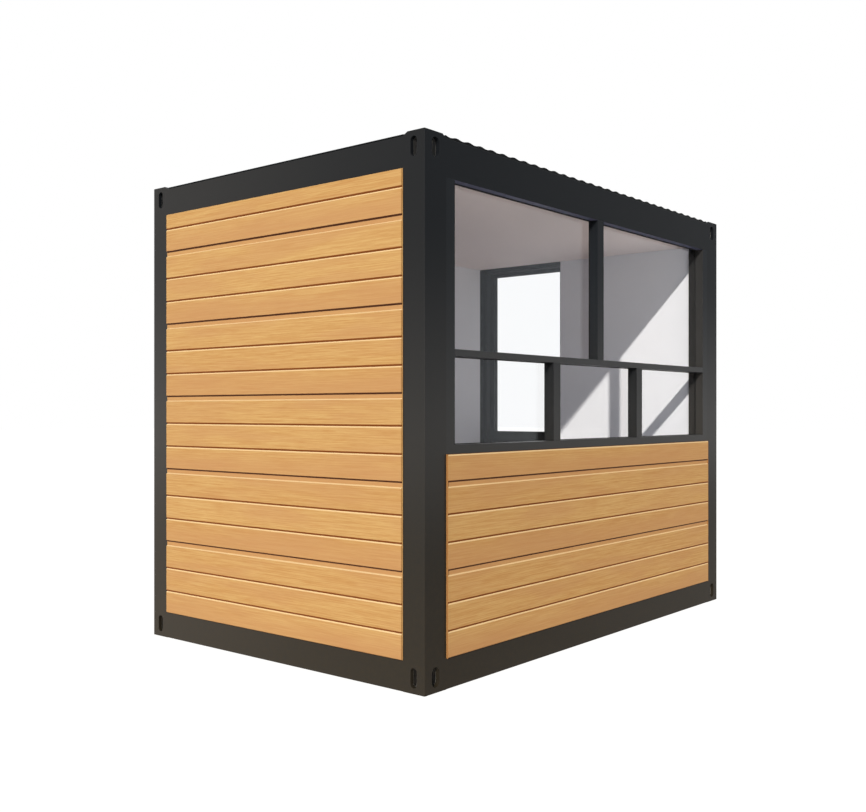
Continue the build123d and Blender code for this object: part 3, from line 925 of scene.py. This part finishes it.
class BOOTH_OT_hardware(bpy.types.Operator):
    """Finishes the handles and hinges, with their screws and locks"""
    bl_idname = "booth.hardware"
    bl_label = "Finish Hardware"

    def execute(self, context):
        look, sizes = context.scene.booth_colours, context.scene.booth_sizes
        metal = brushed_hardware(look)
        knuckles = ["hinge_frame_knuckles", "hinge_leaf_knuckles"]
        dress(["door_handles", *knuckles], metal, sizes.hardware_bevel)
        self.handle_heads(sizes, metal)
        self.hinge_heads(sizes, metal)
        return {"FINISHED"}

    def screw(self, sizes):
        """Rings of a pan head: a low wall, a rounded shoulder and a flat top."""
        wide = sizes.plate_screw
        return [(0, wide, -0.1 * wide, 0), (0, wide, 0.25 * wide, 0), (0, 0.8 * wide, 0.5 * wide, 0),
                (0, 0.4 * wide, 0.6 * wide, 0)]

    def handle_heads(self, sizes, metal):
        """Two screws and a lock plug on each handle's plate."""
        thick, wide, tall = sizes.handle_plate
        low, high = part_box("door_handles")
        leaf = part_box("door_stiles")
        across, middle = low[1] + wide / 2, (low[2] + high[2]) / 2
        rise, plug = tall / 2 - sizes.plate_margin, sizes.lock_radius
        lock = [(plug, plug, -0.1 * plug, 0), (plug, plug, 0.35 * plug, 0),
                (plug, 0.9 * plug, 0.42 * plug, 0), (0.5 * plug, 0.12 * plug, 0.40 * plug, 0),
                (0.5 * plug, 0.12 * plug, 0.05 * plug, 0)]
        for side, face, sign in (("outer", leaf[1][0] + thick, 1), ("inner", leaf[0][0] - thick, -1)):
            places = [(face, across, middle - rise), (face, across, middle + rise)]
            points, faces = turned_heads(places, 0, sign, self.screw(sizes))
            mesh_object(f"{side}_handle_screws", points, faces, metal, "door", "hardware")
            places = [(face, across, middle - sizes.lock_drop)]
            points, faces = turned_heads(places, 0, sign, lock, around=32)
            mesh_object(f"{side}_lock_plug", points, faces, metal, "door", "hardware")

    def hinge_heads(self, sizes, metal):
        """Two screws on each hinge's plate."""
        thick, wide, tall = sizes.hinge_plate
        low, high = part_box("hinge_leaf_knuckles")
        face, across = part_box("door_stiles")[1][0] + thick, low[1] + wide / 2
        levels = np.linspace(low[2] + tall / 2, high[2] - tall / 2, sizes.hinge_count)
        rise = tall / 2 - sizes.plate_margin
        places = [(face, across, level + lift) for level in levels for lift in (-rise, rise)]
        points, faces = turned_heads(places, 0, 1, self.screw(sizes))
        mesh_object("hinge_screws", points, faces, metal, "door", "hardware")


class BOOTH_OT_stage(bpy.types.Operator):
    """Sets the floor, the light and the camera"""
    bl_idname = "booth.stage"
    bl_label = "Set Stage"

    def execute(self, context):
        scene = context.scene
        stage = scene.booth_stage
        scene.view_settings.view_transform = "Standard"
        self.world(scene, stage)
        self.ground(scene, stage)
        self.sun(scene, "sun", stage.sun_strength, stage.sun_colour, stage.sun_way, stage.sun_width)
        self.sun(scene, "fill", stage.fill_strength, stage.fill_colour, stage.fill_way, stage.fill_width)
        self.sun(scene, "rear", stage.rear_strength, stage.rear_colour, stage.rear_way, stage.rear_width)
        self.camera(scene, stage)
        return {"FINISHED"}

    def world(self, scene, stage):
        """White to the camera, metal and glass; a softer sky for everything else."""
        scene.world = bpy.data.worlds.new("studio")
        f = Finish(scene.world)
        seen = f.seen()
        sky = f.node("ShaderNodeBackground", {}, {
            "Color": stage.sky_colour, "Strength": stage.sky_strength})[0]
        white = f.node("ShaderNodeBackground", {}, {"Color": (1.0, 1.0, 1.0), "Strength": 1.0})[0]
        both = f.node("ShaderNodeMixShader", {}, {0: seen, 1: sky, 2: white})[0]
        f.node("ShaderNodeOutputWorld", {}, {"Surface": both})

    def ground(self, scene, stage):
        """A wide pale floor that shows white to the camera and keeps a light shadow."""
        glow, share, drop = 1.2, 0.75, 0.001
        f = finish("pale_floor")
        seen = f.seen()
        pale = f.node("ShaderNodeBsdfDiffuse", {}, {"Color": stage.ground_colour})[0]
        white = f.node("ShaderNodeEmission", {}, {"Color": (1.0, 1.0, 1.0), "Strength": glow})[0]
        material = f.end(f.node("ShaderNodeMixShader", {}, {0: seen * share, 1: pale, 2: white})[0])
        reach = np.linspace(-stage.ground_reach, stage.ground_reach, 3)
        points = level_grid(reach, reach, -drop)
        mesh = bpy.data.meshes.new("pale_floor")
        mesh.from_pydata(points.tolist(), [], quads_of(3, 3).tolist())
        mesh.materials.append(material)
        floor = bpy.data.objects.new("pale_floor", mesh)
        scene.collection.objects.link(floor)

    def sun(self, scene, name, strength, colour, way, width):
        """A distant light that travels one way and fills an angle of the sky."""
        lamp = bpy.data.lights.new(name, "SUN")
        lamp.energy = strength
        lamp.angle = width
        lamp.color = colour
        made = bpy.data.objects.new(name, lamp)
        made.rotation_euler = Vector(way).to_track_quat("-Z", "Y").to_euler()
        scene.collection.objects.link(made)

    def camera(self, scene, stage):
        """The viewpoint: level, at eye height, off the near corner."""
        lens = bpy.data.cameras.new("camera")
        lens.sensor_width = 36.0
        lens.lens = stage.lens
        lens.shift_x, lens.shift_y = stage.shift
        lens.clip_end = 300.0
        made = bpy.data.objects.new("camera", lens)
        made.location = stage.eye
        made.rotation_euler = (math.pi / 2, 0.0, stage.turn)
        scene.collection.objects.link(made)
        scene.camera = made


# Panel and registration

class BOOTH_PT_panel(bpy.types.Panel):
    """Lists the booth's steps"""
    bl_label = "Guard Booth"
    bl_idname = "BOOTH_PT_panel"
    bl_space_type = "VIEW_3D"
    bl_region_type = "UI"
    bl_category = "Booth"

    def draw(self, context):
        for step in STEPS:
            self.layout.operator(step.bl_idname)


GROUPS = {"booth_colours": BoothColours, "booth_sizes": BoothSizes, "booth_stage": BoothStage}
STEPS = (BOOTH_OT_steel, BOOTH_OT_roof, BOOTH_OT_cladding, BOOTH_OT_inside, BOOTH_OT_glazing,
         BOOTH_OT_hardware, BOOTH_OT_stage)
CLASSES = (*GROUPS.values(), *STEPS, BOOTH_PT_panel)


def register():
    for cls in CLASSES:
        bpy.utils.register_class(cls)
    for name, group in GROUPS.items():
        setattr(bpy.types.Scene, name, bpy.props.PointerProperty(type=group))


def unregister():
    for name in GROUPS:
        delattr(bpy.types.Scene, name)
    for cls in reversed(CLASSES):
        bpy.utils.unregister_class(cls)


def main():
    register()
    bpy.ops.booth.steel()
    bpy.ops.booth.roof()
    bpy.ops.booth.cladding()
    bpy.ops.booth.inside()
    bpy.ops.booth.glazing()
    bpy.ops.booth.hardware()
    bpy.ops.booth.stage()


if __name__ == "__main__":
    main()
